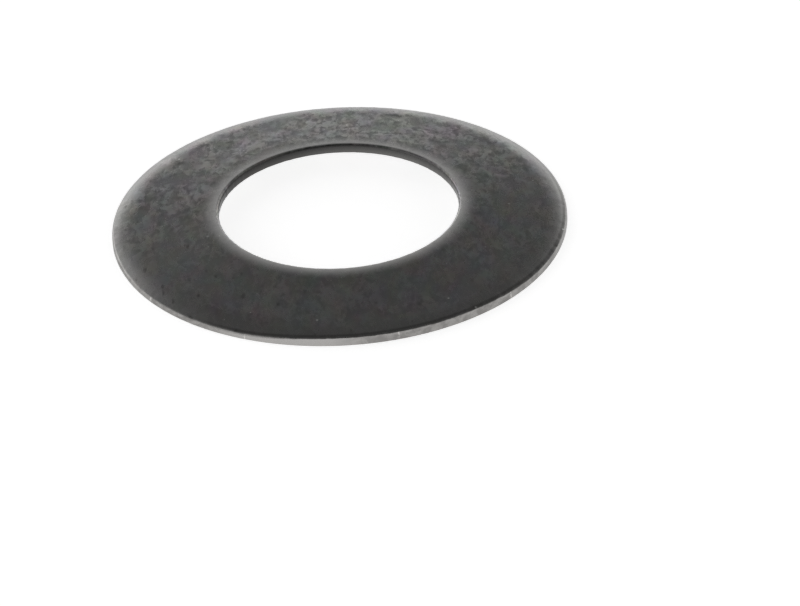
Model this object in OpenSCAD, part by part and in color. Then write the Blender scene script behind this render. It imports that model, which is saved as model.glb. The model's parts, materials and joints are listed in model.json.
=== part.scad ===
/* [Ring] */
// Diameter over the rim, which a sleeve can guide
outer_d = 31.3; // [28:0.1:36]
// Diameter of the hole, which goes over a guide rod
bore_d = 16.48; // [12:0.02:20]
// Thickness of the steel
thickness = 0.8; // [0.7:0.05:1.2]
// Height of the ring with no load on it
free_height = 1.85; // [1.4:0.05:2.6]

/* [Edges] */
// Radius of the slow roll that the upper face takes towards the rim
rim_roll_r = 6; // [2:0.1:8]
// How much that roll turns down from the face, in degrees
rim_turn = 16; // [4:1:20]
// Radius of the slow roll that the upper face takes over the crown to the hole
hole_roll_r = 7; // [2:0.1:10]
// How much that roll turns away from the face, in degrees
hole_turn = 9; // [4:1:16]
// Radius of the shoulder between the first roll and the rim's wall
rim_shoulder_r = 0.25; // [0.15:0.05:0.4]
// Radius of the shoulder between the second roll and the hole's wall
hole_shoulder_r = 0.22; // [0.14:0.02:0.5]
// Radius of the two lower corners
corner_r = 0.12; // [0.05:0.01:0.2]

/* [Hidden] */
outer_r = outer_d / 2;
bore_r = bore_d / 2;
steel = "#47474a";
ring_steps = 180; // straight steps round the ring in a preview
arc_steps = 8; // straight steps along each round corner of the section
steepest_cone = 45; // degrees, where the search for the cone's angle starts
cone_precision = 0.000001; // degrees, how closely that search finds it

// The section lies with x as the distance from the axis and y as the height. It is described by the
// directions that its faces and walls look in: 0 is away from the axis, 90 is up, 180 is to the axis.
function toward(angle) = [cos(angle), sin(angle)];

// The lower outer corner, which the ring rests on
outer_foot = [outer_r - corner_r, corner_r];

// How far the upper face lies from the origin, measured square to the face
function face_reach(cone) = outer_foot * toward(90 - cone) - corner_r + thickness;

// The point at a distance x from the axis that lies a depth under the upper face
function under_face(cone, x, depth) = [x, (face_reach(cone) - depth - x * sin(cone)) / cos(cone)];

// The two edges of the upper face. Side is 1 at the rim and -1 at the hole.
function wall_r(side) = side > 0 ? outer_r : bore_r;
function roll_r(side) = side > 0 ? rim_roll_r : hole_roll_r;
function turn(side) = side > 0 ? rim_turn : hole_turn;
function shoulder_r(side) = side > 0 ? rim_shoulder_r : hole_shoulder_r;

// At each edge the roll touches the face and holds the shoulder, which touches the wall
function roll_end(cone, side) = 90 - cone - side * turn(side);

function roll_centre(cone, side) =
    let (shoulder_x = wall_r(side) - side * shoulder_r(side))
    let (reach = roll_r(side) - shoulder_r(side))
    under_face(cone, shoulder_x - reach * cos(roll_end(cone, side)), roll_r(side));

function shoulder_centre(cone, side) =
    roll_centre(cone, side) + (roll_r(side) - shoulder_r(side)) * toward(roll_end(cone, side));

// Points along an arc, from one direction to another
function arc(centre, radius, from, to) =
    [for (step = [0 : arc_steps]) centre + radius * toward(from + (to - from) * step / arc_steps)];

// The outline, from the foot up the rim, in over the face, down the hole and back under the ring
function outline(cone) = concat(
    arc(outer_foot, corner_r, -90 - cone, 0),
    arc(shoulder_centre(cone, 1), rim_shoulder_r, 0, roll_end(cone, 1)),
    arc(roll_centre(cone, 1), rim_roll_r, roll_end(cone, 1), 90 - cone),
    arc(roll_centre(cone, -1), hole_roll_r, 90 - cone, roll_end(cone, -1)),
    arc(shoulder_centre(cone, -1), hole_shoulder_r, roll_end(cone, -1), 180),
    arc(under_face(cone, bore_r + corner_r, thickness - corner_r), corner_r, 180, 270 - cone)
);

function height(cone) = max([for (point = outline(cone)) point.y]);

// The cone angle at which the ring stands as high as free_height
function cone_between(low, high) =
    let (middle = (low + high) / 2)
    high - low < cone_precision ? middle
    : height(middle) > free_height ? cone_between(low, middle)
    : cone_between(middle, high);

module disc_spring() {
    color(steel)
    rotate_extrude($fn = ring_steps)
    polygon(outline(cone_between(0, steepest_cone)));
}

disc_spring();
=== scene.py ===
import json
import math

import bpy
import numpy as np
from mathutils import Matrix, Vector, noise


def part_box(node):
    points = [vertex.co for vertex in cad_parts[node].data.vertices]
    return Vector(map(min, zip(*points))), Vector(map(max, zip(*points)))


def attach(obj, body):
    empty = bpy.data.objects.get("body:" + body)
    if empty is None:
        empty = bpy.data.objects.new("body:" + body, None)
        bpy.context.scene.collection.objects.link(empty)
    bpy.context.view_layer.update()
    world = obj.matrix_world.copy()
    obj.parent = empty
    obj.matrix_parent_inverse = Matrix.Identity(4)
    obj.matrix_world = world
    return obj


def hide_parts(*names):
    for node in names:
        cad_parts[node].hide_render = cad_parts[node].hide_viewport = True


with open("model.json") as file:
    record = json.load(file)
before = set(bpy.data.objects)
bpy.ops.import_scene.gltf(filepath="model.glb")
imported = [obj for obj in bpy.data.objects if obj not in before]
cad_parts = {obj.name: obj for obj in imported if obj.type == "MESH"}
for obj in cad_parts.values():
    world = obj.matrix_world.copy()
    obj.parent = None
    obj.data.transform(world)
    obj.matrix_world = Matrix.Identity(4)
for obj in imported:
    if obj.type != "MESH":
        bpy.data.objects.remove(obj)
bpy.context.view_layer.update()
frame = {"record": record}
mm = 0.001
print("frame loaded")

# The camera looks from the front and a little above. Aim is how far the place where the ring's axis meets
# the floor lies across and up from the middle of the picture. Lengths are in millimetres, angles in degrees
view = {
    "lens": 360.0,
    "sensor": 18.0,
    "nearest": 20.0,
    "farthest": 20000.0,
    "elevation": 31.0,
    "roll": -3.25,
    "distance": 1098.64,
    "aim": (-4.125, 5.111),
}


def makeCamera():
    data = bpy.data.cameras.new("camera")
    data.lens = view["lens"]
    data.sensor_width = view["sensor"]
    data.sensor_fit = "HORIZONTAL"
    data.clip_start = view["nearest"] * mm
    data.clip_end = view["farthest"] * mm
    camera = bpy.data.objects.new("camera", data)
    bpy.context.scene.collection.objects.link(camera)
    elevation = math.radians(view["elevation"])
    roll = math.radians(view["roll"])
    ahead = Vector((0, math.cos(elevation), -math.sin(elevation)))
    level = Vector((1, 0, 0))
    rise = Vector((0, math.sin(elevation), math.cos(elevation)))
    right = level * math.cos(roll) + rise * math.sin(roll)
    top = rise * math.cos(roll) - level * math.sin(roll)
    across, up = view["aim"]
    place = -(right * across + top * up + ahead * view["distance"]) * mm
    turn = Matrix((right, top, -ahead)).transposed().to_4x4()
    camera.matrix_world = Matrix.Translation(place) @ turn
    bpy.context.scene.camera = camera


makeCamera()
print("camera placed")


def join(tree, source, target):
    tree.links.new(source, target)


# Inputs go by name or number, and each is a plain value or another node's socket
def addNode(tree, kind, inputs=None, **settings):
    node = tree.nodes.new(kind)
    for name, value in settings.items():
        setattr(node, name, value)
    for name, value in (inputs or {}).items():
        if isinstance(value, bpy.types.NodeSocket):
            join(tree, value, node.inputs[name])
        else:
            node.inputs[name].default_value = value
    return node


def calc(tree, operation, *values, clamp=False):
    inputs = dict(enumerate(values))
    return addNode(tree, "ShaderNodeMath", inputs, operation=operation, use_clamp=clamp).outputs[0]


def vectorCalc(tree, operation, *values):
    node = addNode(tree, "ShaderNodeVectorMath", dict(enumerate(values)), operation=operation)
    return node.outputs["Value" if operation in ("LENGTH", "DOT_PRODUCT") else "Vector"]


def mapRange(tree, value, low, high, toLow=0.0, toHigh=1.0, kind="SMOOTHSTEP"):
    ends = {"Value": value, "From Min": low, "From Max": high, "To Min": toLow, "To Max": toHigh}
    return addNode(tree, "ShaderNodeMapRange", ends, interpolation_type=kind).outputs["Result"]


def mixColor(tree, share, first, second, blend="MIX"):
    ends = {0: share, 6: first, 7: second}  # the colour sockets of a Mix node are 6 and 7
    return addNode(tree, "ShaderNodeMix", ends, data_type="RGBA", blend_type=blend).outputs[2]


def addNoise(tree, coords, scale, detail):
    inputs = {"Vector": coords, "Scale": scale, "Detail": detail}
    return addNode(tree, "ShaderNodeTexNoise", inputs, noise_dimensions="3D").outputs


def splitAxes(tree, vector):
    return addNode(tree, "ShaderNodeSeparateXYZ", {0: vector}).outputs


def axisDistance(tree, coords):
    return vectorCalc(tree, "LENGTH", vectorCalc(tree, "MULTIPLY", coords, (1, 1, 0)))


# Empties the node tree of a material or a world and gives it its output
def startTree(owner, outputKind):
    owner.use_nodes = True
    owner.node_tree.nodes.clear()
    return owner.node_tree, addNode(owner.node_tree, outputKind)


def newGroup(name, values, outputs):
    group = bpy.data.node_groups.new(name, "ShaderNodeTree")
    group.interface.new_socket("Coords", in_out="INPUT", socket_type="NodeSocketVector")
    for title, value in values.items():
        socket = group.interface.new_socket(title, in_out="INPUT", socket_type="NodeSocketFloat")
        socket.default_value = value
    for title, kind in outputs.items():
        group.interface.new_socket(title, in_out="OUTPUT", socket_type="NodeSocket" + kind)
    return group, group.nodes.new("NodeGroupInput").outputs, group.nodes.new("NodeGroupOutput").inputs


def useGroup(tree, group, coords, values):
    return addNode(tree, "ShaderNodeGroup", {"Coords": coords, **values}, node_tree=group).outputs


# Cloudy patches: a value about 0.5 and a tint, both smooth at the given size in millimetres
def makeClouds():
    group, given, out = newGroup(
        "oxideClouds",
        {"Size": 1.0, "Detail": 4.0, "Roughness": 0.55, "Warp": 0.4, "Seed": 0.0},
        {"Value": "Float", "Tint": "Color"},
    )
    inputs = {
        "Vector": given["Coords"],
        "W": given["Seed"],
        "Scale": calc(group, "DIVIDE", 1.0, given["Size"]),
        "Detail": given["Detail"],
        "Roughness": given["Roughness"],
        "Distortion": given["Warp"],
    }
    tex = addNode(group, "ShaderNodeTexNoise", inputs, noise_dimensions="4D")
    join(group, tex.outputs["Fac"], out["Value"])
    join(group, tex.outputs["Color"], out["Tint"])
    return group


spotShape = {"bend": 0.12, "bendScale": 6.0, "leastReach": 0.4, "moreReach": 0.8, "core": 0.3}


# Small uneven spots, in only a share of the cells
def makeSpots():
    group, given, out = newGroup(
        "spots",
        {"Size": 0.5, "Reach": 0.25, "Share": 0.2, "Seed": 0.0},
        {"Mask": "Float"},
    )
    bends = addNoise(group, given["Coords"], spotShape["bendScale"], 2.0)
    bent = vectorCalc(group, "MULTIPLY_ADD", bends["Color"], (spotShape["bend"],) * 3, given["Coords"])
    inputs = {
        "Vector": vectorCalc(group, "ADD", bent, given["Seed"]),
        "Scale": calc(group, "DIVIDE", 1.0, given["Size"]),
    }
    cells = addNode(group, "ShaderNodeTexVoronoi", inputs, voronoi_dimensions="2D", feature="F1")
    chance, size, _ = addNode(group, "ShaderNodeSeparateColor", {0: cells.outputs["Color"]}).outputs
    chosen = calc(group, "LESS_THAN", chance, given["Share"])
    size = calc(group, "MULTIPLY_ADD", size, spotShape["moreReach"], spotShape["leastReach"])
    reach = calc(group, "MULTIPLY", given["Reach"], size)
    near = mapRange(group, calc(group, "DIVIDE", cells.outputs["Distance"], reach), 1.0, spotShape["core"])
    join(group, calc(group, "MULTIPLY", near, chosen), out["Mask"])
    return group


hairlineBreaks = {"scale": 0.9, "fade": (0.52, 0.66)}


# Fine hairline scratches that run mostly one way, broken off here and there
def makeHairlines():
    group, given, out = newGroup(
        "hairlines",
        {"Turn": 0.0, "Spacing": 0.5, "Length": 3.0, "Width": 0.02, "Seed": 0.0},
        {"Mask": "Float"},
    )
    inputs = {"Vector": given["Coords"], "Angle": given["Turn"]}
    turned = addNode(group, "ShaderNodeVectorRotate", inputs, rotation_type="Z_AXIS")
    along, across, _ = splitAxes(group, turned.outputs[0])
    inputs = {
        0: calc(group, "DIVIDE", along, given["Length"]),
        1: calc(group, "DIVIDE", across, given["Spacing"]),
        2: given["Seed"],
    }
    stretched = addNode(group, "ShaderNodeCombineXYZ", inputs)
    waves = addNoise(group, stretched.outputs[0], 1.0, 1.5)
    away = calc(group, "ABSOLUTE", calc(group, "SUBTRACT", waves["Fac"], 0.5))
    line = mapRange(group, away, given["Width"], 0.0)
    breaks = addNoise(group, given["Coords"], hairlineBreaks["scale"], 2.0)
    kept = mapRange(group, breaks["Fac"], *hairlineBreaks["fade"])
    join(group, calc(group, "MULTIPLY", line, kept), out["Mask"])
    return group


bandWearAndShade = {"scale": 1.3, "detail": 4.0, "fade": (0.3, 0.5, 0.8, 1.0)}


# An uneven band round the axis, sharp inside and fading outwards. It draws the worn crown round the hole
# and the painted shade line inside the rim
def makeBand():
    group, given, out = newGroup(
        "roundBand",
        {"Inner Start": 7.9, "Inner Full": 8.0, "Outer Full": 8.2, "Outer End": 9.0,
         "Fade": 1.5, "Uneven": 0.3},
        {"Mask": "Float"},
    )
    radius = axisDistance(group, given["Coords"])
    waves = addNoise(group, given["Coords"], bandWearAndShade["scale"], bandWearAndShade["detail"])
    wave = calc(group, "MULTIPLY", calc(group, "SUBTRACT", waves["Fac"], 0.5), given["Uneven"])
    inner = mapRange(group, radius, given["Inner Start"], given["Inner Full"])
    uneven = calc(group, "ADD", radius, wave)
    outer = mapRange(group, uneven, given["Outer End"], given["Outer Full"], kind="LINEAR")
    band = calc(group, "MULTIPLY", inner, calc(group, "POWER", outer, given["Fade"]))
    thin = mapRange(group, waves["Fac"], *bandWearAndShade["fade"])
    join(group, calc(group, "MULTIPLY", band, thin), out["Mask"])
    return group


clouds = makeClouds()
spots = makeSpots()
hairlines = makeHairlines()
roundBand = makeBand()
print("shared effects ready")

# The blackened steel. Tones are what the bare metal sends straight back, and sizes are in millimetres. A
# fade says where it starts and where it ends, then its values there, which are 0 and 1 if it gives none
steel = {
    "grazingTone": (0.8, 0.8, 0.8, 1),
    "rubbedTone": (0.98, 0.97, 0.955, 1),
    "roughness": 0.21,
    "cloudyRoughness": 0.12,
    "rubbedPolish": 0.04,
    "bump": 0.6,
    "relief": {"mottle": 0.02, "broad": 0.04, "veins": 0.003, "pits": -0.004, "scratches": -0.0015},
    "crown": {"Inner Start": 8.355, "Inner Full": 8.435, "Outer Full": 8.36, "Outer End": 9.6,
              "Fade": 1.6, "Uneven": 0.35},
    "flecks": {"Size": 0.9, "Reach": 0.1, "Share": 0.03, "Seed": 9.0},
    "fleckShare": 0.6,
    "scratches": {"Turn": 0.5, "Spacing": 0.6, "Length": 6.0, "Width": 0.012, "Seed": 4.0},
    "grain": (1.0, 0.6, 1.0),
    "wallTilt": (0.87, 0.5),  # how far up a surface faces, from the upper face to a wall
    "underTilt": (-0.97, -0.88),  # and from the underside to a wall
    "holeReach": (9.0, 8.9),
    "rimReach": (15.0, 15.1),
}

# The oxide on the faces. It is lively towards one side and calm on the other and near the rim. It also
# holds a painted shade line just inside the rim on the front right, in the pits' dark tone
oxideAndShade = {
    "tone": (0.385, 0.381, 0.374, 1),
    "darkTone": (0.135, 0.134, 0.132, 1),
    "veinTone": (0.42, 0.415, 0.41, 1),
    # This dark tone is for the pits and also for the painted shade line inside the rim
    "pitTone": (0.07, 0.067, 0.064, 1),
    "broad": {"Size": 2.6, "Detail": 2.0, "Warp": 0.8, "Seed": 3.1},
    "mottle": {"Size": 0.5, "Detail": 1.5, "Roughness": 0.5, "Warp": 0.8, "Seed": 7.7},
    "fine": {"Size": 0.2, "Detail": 1.0, "Roughness": 0.5, "Warp": 0.3, "Seed": 2.2},
    "tint": {"Size": 1.4, "Detail": 1.0, "Warp": 0.5, "Seed": 1.4},
    "shares": {"mottle": 0.55, "broad": 0.25, "fine": 0.2},
    "contrast": (0.4, 0.6),
    "livelySide": (-0.2, 1.0, 0.0),
    "sideFade": (-6.0, 11.0, 0.22, 0.72),
    "rimFade": (15.2, 13.8, 0.35, 1.0),
    "broadFade": (0.38, 0.6, 0.5, 1.35),
    "tintFade": (15.2, 14.2, 0.04, 0.16),
    "veins": {"Turn": 0.4, "Spacing": 0.75, "Length": 0.9, "Width": 0.045, "Seed": 5.0},
    "veinShare": 0.7,
    "pits": {"Size": 0.6, "Reach": 0.33, "Share": 0.1, "Seed": 2.0},
    "pitFade": (3.0, -6.0, 0.2, 0.42),
    # Painted shade: a thin dark line just inside the rim, only on the front right
    "stain": {"Inner Start": 15.28, "Inner Full": 15.42, "Outer Full": 15.48, "Outer End": 15.6,
              "Fade": 1.0, "Uneven": 0.3},
    "stainSide": (0.6, -0.8, 0.0),
    "stainFade": (1.0, 8.0, 0.0, 0.5),
}


# Each effect of the oxide, by name, and how lively it is from place to place
def oxideEffects(tree, place):
    effects = {
        "broad": useGroup(tree, clouds, place["at"], oxideAndShade["broad"])["Value"],
        "mottle": useGroup(tree, clouds, place["along"], oxideAndShade["mottle"])["Value"],
        "fine": useGroup(tree, clouds, place["along"], oxideAndShade["fine"])["Value"],
        "tint": useGroup(tree, clouds, place["along"], oxideAndShade["tint"])["Tint"],
        "veins": useGroup(tree, hairlines, place["along"], oxideAndShade["veins"])["Mask"],
        "pits": useGroup(tree, spots, place["along"], oxideAndShade["pits"])["Mask"],
    }
    side = vectorCalc(tree, "DOT_PRODUCT", place["at"], oxideAndShade["livelySide"])
    lively = mapRange(tree, side, *oxideAndShade["sideFade"])
    lively = calc(tree, "MULTIPLY", lively, mapRange(tree, place["radius"], *oxideAndShade["rimFade"]))
    patchy = mapRange(tree, effects["broad"], *oxideAndShade["broadFade"])
    effects["lively"] = calc(tree, "MULTIPLY", lively, patchy)
    return effects


# The oxide's colour, finished with a painted shade line just inside the rim on the front right
def oxideAndShadeColor(tree, place, effects):
    shares, lively = oxideAndShade["shares"], effects["lively"]
    mixed = calc(tree, "MULTIPLY", effects["broad"], shares["broad"])
    for name in ("mottle", "fine"):
        mixed = calc(tree, "MULTIPLY_ADD", effects[name], shares[name], mixed)
    cloudy = calc(tree, "SUBTRACT", mapRange(tree, mixed, *oxideAndShade["contrast"]), 0.5)
    cloudy = calc(tree, "MULTIPLY_ADD", cloudy, lively, 0.5)
    color = mixColor(tree, cloudy, oxideAndShade["darkTone"], oxideAndShade["tone"])
    veined = calc(tree, "MULTIPLY", calc(tree, "MULTIPLY", effects["veins"], lively), oxideAndShade["veinShare"])
    color = mixColor(tree, veined, color, oxideAndShade["veinTone"])
    tinted = mixColor(tree, 1.0, color, effects["tint"], "OVERLAY")
    color = mixColor(tree, mapRange(tree, place["radius"], *oxideAndShade["tintFade"]), color, tinted)
    pitted = calc(tree, "MULTIPLY", effects["pits"], mapRange(tree, place["x"], *oxideAndShade["pitFade"]))
    color = mixColor(tree, pitted, color, oxideAndShade["pitTone"])
    # Painted shade: darkens a thin line just inside the rim, towards the front right
    stain = useGroup(tree, roundBand, place["at"], oxideAndShade["stain"])["Mask"]
    side = vectorCalc(tree, "DOT_PRODUCT", place["at"], oxideAndShade["stainSide"])
    paintedShadeShare = calc(tree, "MULTIPLY", stain, mapRange(tree, side, *oxideAndShade["stainFade"]))
    return mixColor(tree, paintedShadeShare, color, oxideAndShade["pitTone"])


# The hole's wall is darker higher up, and has painted light and shade to the sides: lighter on the right,
# darker on the left
holeWall = {
    "lowTone": (0.105, 0.103, 0.1, 1),
    "highTone": (0.06, 0.059, 0.058, 1),
    "heights": (1.28, 1.62),
    # Painted light and shade: the wall's tone is scaled from 0.8 on the left to 1.5 on the right
    "sideFade": (-6.0, 7.0, 0.8, 1.5),
}


def holeColor(tree, place):
    height = mapRange(tree, place["z"], *holeWall["heights"], kind="LINEAR")
    color = mixColor(tree, height, holeWall["lowTone"], holeWall["highTone"])
    # Painted light and shade: lighter to the right, darker to the left
    return mixColor(tree, 1.0, color, mapRange(tree, place["x"], *holeWall["sideFade"]), "MULTIPLY")


# The rim's wall is scuffed and struck, and has a painted highlight along one stretch at the front
rimWall = {
    "scuffs": {"Size": 0.7, "Detail": 3.0, "Roughness": 0.6, "Warp": 0.8, "Seed": 6.3},
    "scuffStretch": (1, 1, 1.5),
    "scuffFade": (0.36, 0.66),
    "tones": ((0.235, 0.228, 0.221, 1), (0.34, 0.332, 0.322, 1)),
    "shineTone": (0.4, 0.39, 0.38, 1),
    "shineMiddle": -4.0,
    "shineReach": (6.5, 2.5),
    "frontFade": (0.0, -9.0),
    "marks": {"Size": 0.7, "Reach": 0.16, "Share": 0.16, "Seed": 4.0},
    "markTone": (0.7, 0.68, 0.66, 1),
    "markFade": (0.45, 0.58, 0.0, 0.6),
}


def rimColor(tree, place):
    stretched = vectorCalc(tree, "MULTIPLY", place["at"], rimWall["scuffStretch"])
    scuffs = useGroup(tree, clouds, stretched, rimWall["scuffs"])["Value"]
    color = mixColor(tree, mapRange(tree, scuffs, *rimWall["scuffFade"]), *rimWall["tones"])
    # Painted highlight: a lighter stretch of the rim's wall at the front, a little left of middle
    away = calc(tree, "ABSOLUTE", calc(tree, "SUBTRACT", place["x"], rimWall["shineMiddle"]))
    paintedHighlight = mapRange(tree, away, *rimWall["shineReach"])
    paintedHighlight = calc(tree, "MULTIPLY", paintedHighlight, mapRange(tree, place["y"], *rimWall["frontFade"]))
    color = mixColor(tree, paintedHighlight, color, rimWall["shineTone"])
    marks = useGroup(tree, spots, place["at"], rimWall["marks"])["Mask"]
    struck = calc(tree, "MULTIPLY", marks, mapRange(tree, scuffs, *rimWall["markFade"]))
    return mixColor(tree, struck, color, rimWall["markTone"])


def findPlace(tree):
    coords = addNode(tree, "ShaderNodeTexCoord").outputs
    at = vectorCalc(tree, "MULTIPLY", coords["Object"], (1 / mm,) * 3)
    x, y, z = splitAxes(tree, at)
    return {
        "at": at, "x": x, "y": y, "z": z,
        "along": vectorCalc(tree, "MULTIPLY", at, steel["grain"]),
        "radius": axisDistance(tree, at),
        "tilt": splitAxes(tree, coords["Normal"])[2],
    }


def makeSteel():
    material = bpy.data.materials.new("blackenedSteel")
    tree, out = startTree(material, "ShaderNodeOutputMaterial")
    inputs = {"Metallic": 1.0, "Specular Tint": steel["grazingTone"]}
    shader = addNode(tree, "ShaderNodeBsdfPrincipled", inputs)
    join(tree, shader.outputs[0], out.inputs["Surface"])
    place = findPlace(tree)
    effects = oxideEffects(tree, place)

    upright = mapRange(tree, place["tilt"], *steel["wallTilt"])
    upright = calc(tree, "MULTIPLY", upright, mapRange(tree, place["tilt"], *steel["underTilt"]))
    inHole = calc(tree, "MULTIPLY", upright, mapRange(tree, place["radius"], *steel["holeReach"]))
    onRim = calc(tree, "MULTIPLY", upright, mapRange(tree, place["radius"], *steel["rimReach"]))
    color = mixColor(tree, inHole, oxideAndShadeColor(tree, place, effects), holeColor(tree, place))
    color = mixColor(tree, onRim, color, rimColor(tree, place))

    crown = useGroup(tree, roundBand, place["at"], steel["crown"])["Mask"]
    above = mapRange(tree, place["tilt"], *reversed(steel["wallTilt"]))
    flecks = useGroup(tree, spots, place["at"], steel["flecks"])["Mask"]
    flecks = calc(tree, "MULTIPLY", flecks, steel["fleckShare"])
    worn = calc(tree, "MAXIMUM", calc(tree, "MULTIPLY", crown, above), flecks, clamp=True)
    join(tree, mixColor(tree, worn, color, steel["rubbedTone"]), shader.inputs["Base Color"])

    rough = calc(tree, "MULTIPLY_ADD", effects["mottle"], steel["cloudyRoughness"], steel["roughness"])
    rough = calc(tree, "SUBTRACT", rough, calc(tree, "MULTIPLY", worn, steel["rubbedPolish"]))
    join(tree, rough, shader.inputs["Roughness"])

    scratches = useGroup(tree, hairlines, place["at"], steel["scratches"])["Mask"]
    depths = steel["relief"]
    relief = calc(tree, "MULTIPLY", effects["mottle"], depths["mottle"])
    for name in ("broad", "veins"):
        relief = calc(tree, "MULTIPLY_ADD", effects[name], depths[name], relief)
    relief = calc(tree, "MULTIPLY", relief, effects["lively"])
    relief = calc(tree, "MULTIPLY_ADD", effects["pits"], depths["pits"], relief)
    relief = calc(tree, "MULTIPLY_ADD", scratches, depths["scratches"], relief)
    bump = addNode(tree, "ShaderNodeBump", {"Strength": steel["bump"], "Distance": mm, "Height": relief})
    join(tree, bump.outputs[0], shader.inputs["Normal"])
    return material


blackenedSteel = makeSteel()
print("steel ready")

# The ring, in millimetres and degrees. The rim, the hole and the height come from the solid. Each stretch
# of the rim has its own edge round its middle, and half is how far it reaches to each side. A band is where
# wear starts and where it is full: in from the rim, out from the hole or up from the floor. Wear is a depth
# times a level plus waves, and each wave has its count round the ring, its strength and its seed
ring = {
    "thickness": 0.8,
    "rimEdge": {"roll": 6.0, "turn": 16.0, "shoulder": 0.25},  # the roll and the shoulder are radii
    "holeEdge": {"roll": 7.0, "turn": 9.0, "shoulder": 0.22},
    "cornerRadius": 0.12,
    "steepestCone": 45.0,
    "conePrecision": 1e-9,
    "leastGap": 1e-6,
    "stretches": (
        {"middle": 286.0, "half": 44.0, "edge": {"roll": 6.0, "turn": 10.5, "shoulder": 0.1}},
        {"middle": 334.0, "half": 26.0, "edge": {"roll": 6.0, "turn": 16.0, "shoulder": 0.13}},
        {"middle": 220.0, "half": 42.0, "edge": {"roll": 6.0, "turn": 18.5, "shoulder": 0.3}},
    ),
    "stretchRamp": 1.75,  # how steeply a stretch comes in
    "stretchWave": (30, 0.35, 3.0),
    "rimBand": (0.45, 0.1),
    "holeBand": (0.35, 0.1),
    "topBand": (0.4, 0.75),
    "rimWear": {"depth": 0.016, "level": 0.5, "waves": ((26, 0.5, 1.0), (110, 0.3, 2.0)), "most": 2.0},
    "topWear": {"depth": 0.016, "level": 1.0, "waves": ((60, 2.0, 5.0), (190, 1.5, 6.0)), "most": 3.0},
    "holeWear": {"depth": 0.0096, "level": 1.0, "waves": ((50, 2.0, 7.0),), "most": 2.0},
    "nicks": (
        {"middle": 227.8, "depth": 0.05, "width": 0.14},
        {"middle": 238.0, "depth": 0.035, "width": 0.1},
        {"middle": 262.0, "depth": 0.02, "width": 0.25},
        {"middle": 301.0, "depth": 0.035, "width": 0.2},
        {"middle": 316.0, "depth": 0.03, "width": 0.3},
        {"middle": 341.0, "depth": 0.03, "width": 0.2},
        {"middle": 12.0, "depth": 0.02, "width": 0.3},
    ),
    "nickDrop": 0.5,  # how far a nick goes down, as a share of its depth
    "wallSteps": 4,
    "faceSteps": 24,
    "arcSteps": 12,
    "slices": 720,
}


def toward(angle):
    return np.array((math.cos(math.radians(angle)), math.sin(math.radians(angle))))


# The closed section of the ring, as radius and height. The cone's angle is found from the height
class Section:
    def __init__(self, sizes, rimRadius, holeRadius, height):
        self.sizes, self.rim, self.hole = sizes, rimRadius, holeRadius
        low, high = 0.0, sizes["steepestCone"]
        while high - low > sizes["conePrecision"]:
            self.cone = (low + high) / 2
            if self.outline()[:, 1].max() > height:
                high = self.cone
            else:
                low = self.cone

    # The point at the given radius that lies depth under the upper face
    def underFace(self, radius, depth):
        corner = self.sizes["cornerRadius"]
        across, up = toward(90 - self.cone)
        faceReach = (self.rim - corner) * across + corner * up - corner + self.sizes["thickness"]
        return np.array((radius, (faceReach - depth - radius * across) / up))

    # Where an upper edge's two arcs are. The side is 1 at the rim and -1 at the hole
    def edgeArcs(self, edge, wall, side):
        end = 90 - self.cone - side * edge["turn"]
        inner = (edge["roll"] - edge["shoulder"]) * toward(end)
        rollCentre = self.underFace(wall - side * edge["shoulder"] - inner[0], edge["roll"])
        return rollCentre, rollCentre + inner, end

    def outline(self):
        sizes, points = self.sizes, []
        steps, wallSteps, faceSteps = sizes["arcSteps"], sizes["wallSteps"], sizes["faceSteps"]
        corner, face = sizes["cornerRadius"], 90 - self.cone

        def arc(centre, radius, start, end, count):
            for i in range(count + 1):
                points.append(centre + radius * toward(start + (end - start) * i / count))

        def line(end, count):
            start = points[-1]
            for i in range(1, count):
                points.append(start + (end - start) * i / count)

        arc(np.array((self.rim - corner, corner)), corner, -90 - self.cone, 0, steps // 2)
        edge = sizes["rimEdge"]
        rollCentre, shoulderCentre, end = self.edgeArcs(edge, self.rim, 1)
        line(shoulderCentre + edge["shoulder"] * toward(0), wallSteps)
        arc(shoulderCentre, edge["shoulder"], 0, end, steps)
        arc(rollCentre, edge["roll"], end, face, steps)
        edge = sizes["holeEdge"]
        rollCentre, shoulderCentre, end = self.edgeArcs(edge, self.hole, -1)
        line(rollCentre + edge["roll"] * toward(face), faceSteps)
        arc(rollCentre, edge["roll"], face, end, steps)
        arc(shoulderCentre, edge["shoulder"], end, 180, steps)
        cornerCentre = self.underFace(self.hole + corner, sizes["thickness"] - corner)
        line(cornerCentre + corner * toward(180), wallSteps)
        arc(cornerCentre, corner, 180, 270 - self.cone, steps // 2)
        line(points[0], faceSteps)
        points = np.array(points)
        apart = np.linalg.norm(np.diff(points, axis=0), axis=1) > sizes["leastGap"]
        return points[np.concatenate(([True], apart))]


# Smooth wandering within about -1 and 1 round the ring, with about the given number of waves
def wander(angles, waves, seed):
    reach = waves / 2
    places = [Vector((reach * math.cos(angle), reach * math.sin(angle), seed)) for angle in angles]
    return np.array([noise.noise(place) for place in places])


def ramp(values, start, full):
    return np.clip((values - start) / (full - start), 0, 1)


def degreesAway(angles, middle):
    return np.abs((np.degrees(angles) - middle + 180) % 360 - 180)


def wearDepth(angles, wear):
    share = wear["level"]
    for count, strength, seed in wear["waves"]:
        share = share + strength * wander(angles, count, seed)
    return wear["depth"] * np.clip(share, 0, wear["most"])


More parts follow.
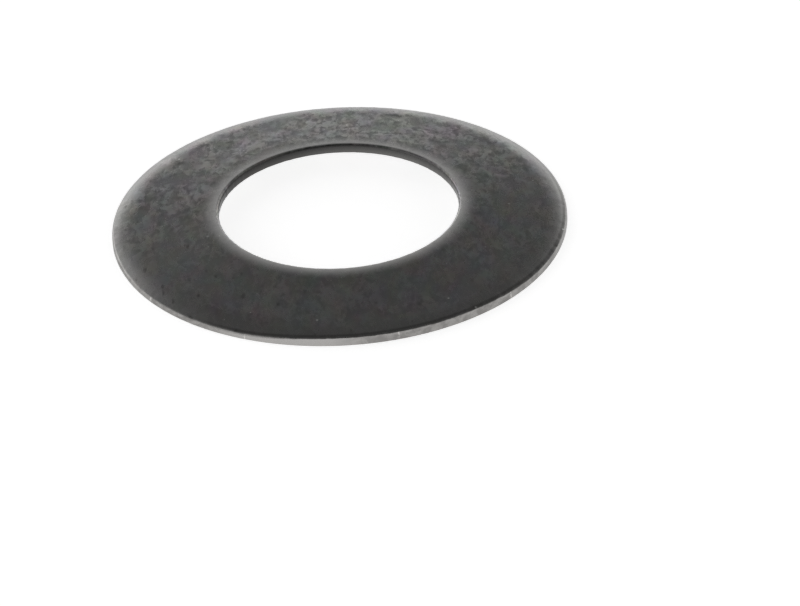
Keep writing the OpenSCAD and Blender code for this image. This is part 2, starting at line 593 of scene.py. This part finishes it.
# Radius and height of every point, by its place in the section and then by its slice
def ringPoints(angles, rim, hole, top):
    section = Section(ring, rim, hole, top)
    outline = section.outline()
    print("section of", len(outline), "points, cone", round(section.cone, 3))
    points = np.repeat(outline[:, None], len(angles), 1)
    count, strength, seed = ring["stretchWave"]
    steepness = ring["stretchRamp"] + strength * wander(angles, count, seed)
    for stretch in ring["stretches"]:
        other = Section({**ring, "rimEdge": stretch["edge"]}, rim, hole, top).outline()
        share = ramp(degreesAway(angles, stretch["middle"]), stretch["half"], 0)
        share = np.clip(share * steepness, 0, 1)
        share = share * share * (3 - 2 * share)
        points += (other - outline)[:, None] * share[None, :, None]
    rimBand, holeBand = ring["rimBand"], ring["holeBand"]
    nearRim = ramp(points[..., 0], rim - rimBand[0], rim - rimBand[1])
    nearHole = ramp(points[..., 0], hole + holeBand[0], hole + holeBand[1])
    nearTop = nearRim * ramp(points[..., 1], *ring["topBand"])
    points[..., 0] -= nearRim * wearDepth(angles, ring["rimWear"])
    points[..., 0] += nearHole * wearDepth(angles, ring["holeWear"])
    points[..., 1] -= nearTop * wearDepth(angles, ring["topWear"])
    for nick in ring["nicks"]:
        away = np.radians(degreesAway(angles, nick["middle"])) * rim
        dent = nearTop * nick["depth"] * np.exp(-(away / nick["width"]) ** 2)
        points[..., 0] -= dent
        points[..., 1] -= dent * ring["nickDrop"]
    return points


def ringMesh(points, angles):
    count, slices = points.shape[:2]
    across = np.stack((np.cos(angles), np.sin(angles)), 1)
    places = np.concatenate((points[..., :1] * across, points[..., 1:]), 2).reshape(-1, 3)
    i, j = np.meshgrid(np.arange(count), np.arange(slices), indexing="ij")
    nextRow, nextSlice = (i + 1) % count * slices, (j + 1) % slices
    corners = (i * slices + j, i * slices + nextSlice, nextRow + nextSlice, nextRow + j)
    faces = np.stack(corners, -1).reshape(-1, 4)
    mesh = bpy.data.meshes.new("spring_ring")
    mesh.vertices.add(len(places))
    mesh.vertices.foreach_set("co", (places * mm).astype(np.float32).ravel())
    mesh.loops.add(faces.size)
    mesh.loops.foreach_set("vertex_index", faces.astype(np.int32).ravel())
    mesh.polygons.add(len(faces))
    mesh.polygons.foreach_set("loop_start", np.arange(0, faces.size, 4, dtype=np.int32))
    mesh.update(calc_edges=True)
    mesh.validate()
    mesh.polygons.foreach_set("use_smooth", np.ones(len(mesh.polygons), bool))
    return mesh


def makeRing():
    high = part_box("disc_spring")[1]
    bore = next(mount for mount in frame["record"]["mounts"] if mount["name"] == "bore")
    angles = np.arange(ring["slices"]) * 2 * np.pi / ring["slices"]
    points = ringPoints(angles, high.x / mm, bore["dims"]["r_mm"], high.z / mm)
    mesh = ringMesh(points, angles)
    mesh.materials.append(blackenedSteel)
    piece = bpy.data.objects.new("spring_ring", mesh)
    bpy.context.scene.collection.objects.link(piece)
    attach(piece, "root")
    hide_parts("disc_spring")


makeRing()
print("ring made")

# The studio: a pale floor under a soft sky that is bright low down and dim overhead. Sky levels go by how
# far a direction turns towards the dim pole, and each patch adds its level round its own direction. Reach
# holds the turns towards it where it starts and where it is full. The floor and the lamp are in metres
studio = {
    "floorTone": (0.8, 0.8, 0.8, 1),
    "floorGlow": 0.76,
    "floorSize": 6.0,
    "dimPole": (0.07, 0.25, 0.966),
    "skyLevels": (
        (0.0, 0.95), (0.25, 0.97), (0.33, 0.92), (0.41, 0.68), (0.47, 0.45), (0.54, 0.34), (0.61, 0.30),
        (0.70, 0.28), (0.80, 0.22), (0.89, 0.155), (1.0, 0.15),
    ),
    "patches": (
        {"toward": (-0.56, 0.80, -0.2), "reach": (0.78, 0.9), "level": 0.95},
        {"toward": (0.56, 0.80, -0.2), "reach": (0.78, 0.9), "level": 0.78},
        {"toward": (0.275, 0.847, 0.454), "reach": (0.965, 0.995), "level": -0.09},
        {"toward": (-0.6, 0.66, 0.45), "reach": (0.955, 0.995), "level": 0.5},
        {"toward": (0.52, 0.77, 0.35), "reach": (0.96, 0.995), "level": 0.3},
        {"toward": (0.0, -0.98, 0.17), "reach": (0.3, 0.85), "level": -0.4},
    ),
    "lampPlace": (-0.5, 0.5, 1.2),
    "lampPower": 0.6,
    "lampSize": 0.9,
}


# The floor glows white only where it is seen, directly or in the metal, and is clear from below
def makeFloorFinish():
    material = bpy.data.materials.new("paleFloor")
    tree, out = startTree(material, "ShaderNodeOutputMaterial")
    path = addNode(tree, "ShaderNodeLightPath").outputs
    seen = calc(tree, "ADD", path["Is Camera Ray"], path["Is Glossy Ray"], clamp=True)
    seen = calc(tree, "ADD", seen, path["Is Transmission Ray"], clamp=True)
    glow = addNode(tree, "ShaderNodeEmission", {
        "Color": (1, 1, 1, 1),
        "Strength": calc(tree, "MULTIPLY", seen, studio["floorGlow"]),
    })
    matt = addNode(tree, "ShaderNodeBsdfDiffuse", {"Color": studio["floorTone"]})
    both = addNode(tree, "ShaderNodeAddShader", {0: matt.outputs[0], 1: glow.outputs[0]})
    clear = addNode(tree, "ShaderNodeBsdfTransparent")
    under = addNode(tree, "ShaderNodeNewGeometry").outputs["Backfacing"]
    pick = addNode(tree, "ShaderNodeMixShader", {0: under, 1: both.outputs[0], 2: clear.outputs[0]})
    join(tree, pick.outputs[0], out.inputs["Surface"])
    return material


def makeFloor():
    half = studio["floorSize"] / 2
    corners = [(-half, -half, 0), (half, -half, 0), (half, half, 0), (-half, half, 0)]
    mesh = bpy.data.meshes.new("floor")
    mesh.from_pydata(corners, [], [(0, 1, 2, 3)])
    mesh.materials.append(makeFloorFinish())
    floor = bpy.data.objects.new("floor", mesh)
    bpy.context.scene.collection.objects.link(floor)


def makeSky():
    world = bpy.data.worlds.new("studio")
    bpy.context.scene.world = world
    tree, out = startTree(world, "ShaderNodeOutputWorld")
    direction = addNode(tree, "ShaderNodeTexCoord").outputs["Generated"]
    overhead = vectorCalc(tree, "DOT_PRODUCT", direction, studio["dimPole"])
    shades = addNode(tree, "ShaderNodeValToRGB", {"Fac": overhead})
    stops = shades.color_ramp.elements
    while len(stops) < len(studio["skyLevels"]):
        stops.new(0.5)
    for stop, (at, level) in zip(stops, studio["skyLevels"]):
        stop.position = at
        stop.color = (level, level, level, 1)
    sky = shades.outputs["Color"]
    for patch in studio["patches"]:
        turn = vectorCalc(tree, "DOT_PRODUCT", direction, patch["toward"])
        sky = calc(tree, "ADD", sky, mapRange(tree, turn, *patch["reach"], 0.0, patch["level"]))
    back = addNode(tree, "ShaderNodeBackground", {"Color": sky})
    join(tree, back.outputs[0], out.inputs["Surface"])


def makeLamp():
    data = bpy.data.lights.new("softLamp", "AREA")
    data.energy = studio["lampPower"]
    data.size = studio["lampSize"]
    lamp = bpy.data.objects.new("softLamp", data)
    lamp.location = studio["lampPlace"]
    lamp.rotation_euler = (-lamp.location).to_track_quat("-Z", "Y").to_euler()
    lamp.visible_glossy = False
    bpy.context.scene.collection.objects.link(lamp)


makeFloor()
makeSky()
makeLamp()
bpy.context.scene.view_settings.view_transform = "Standard"
print("studio ready")
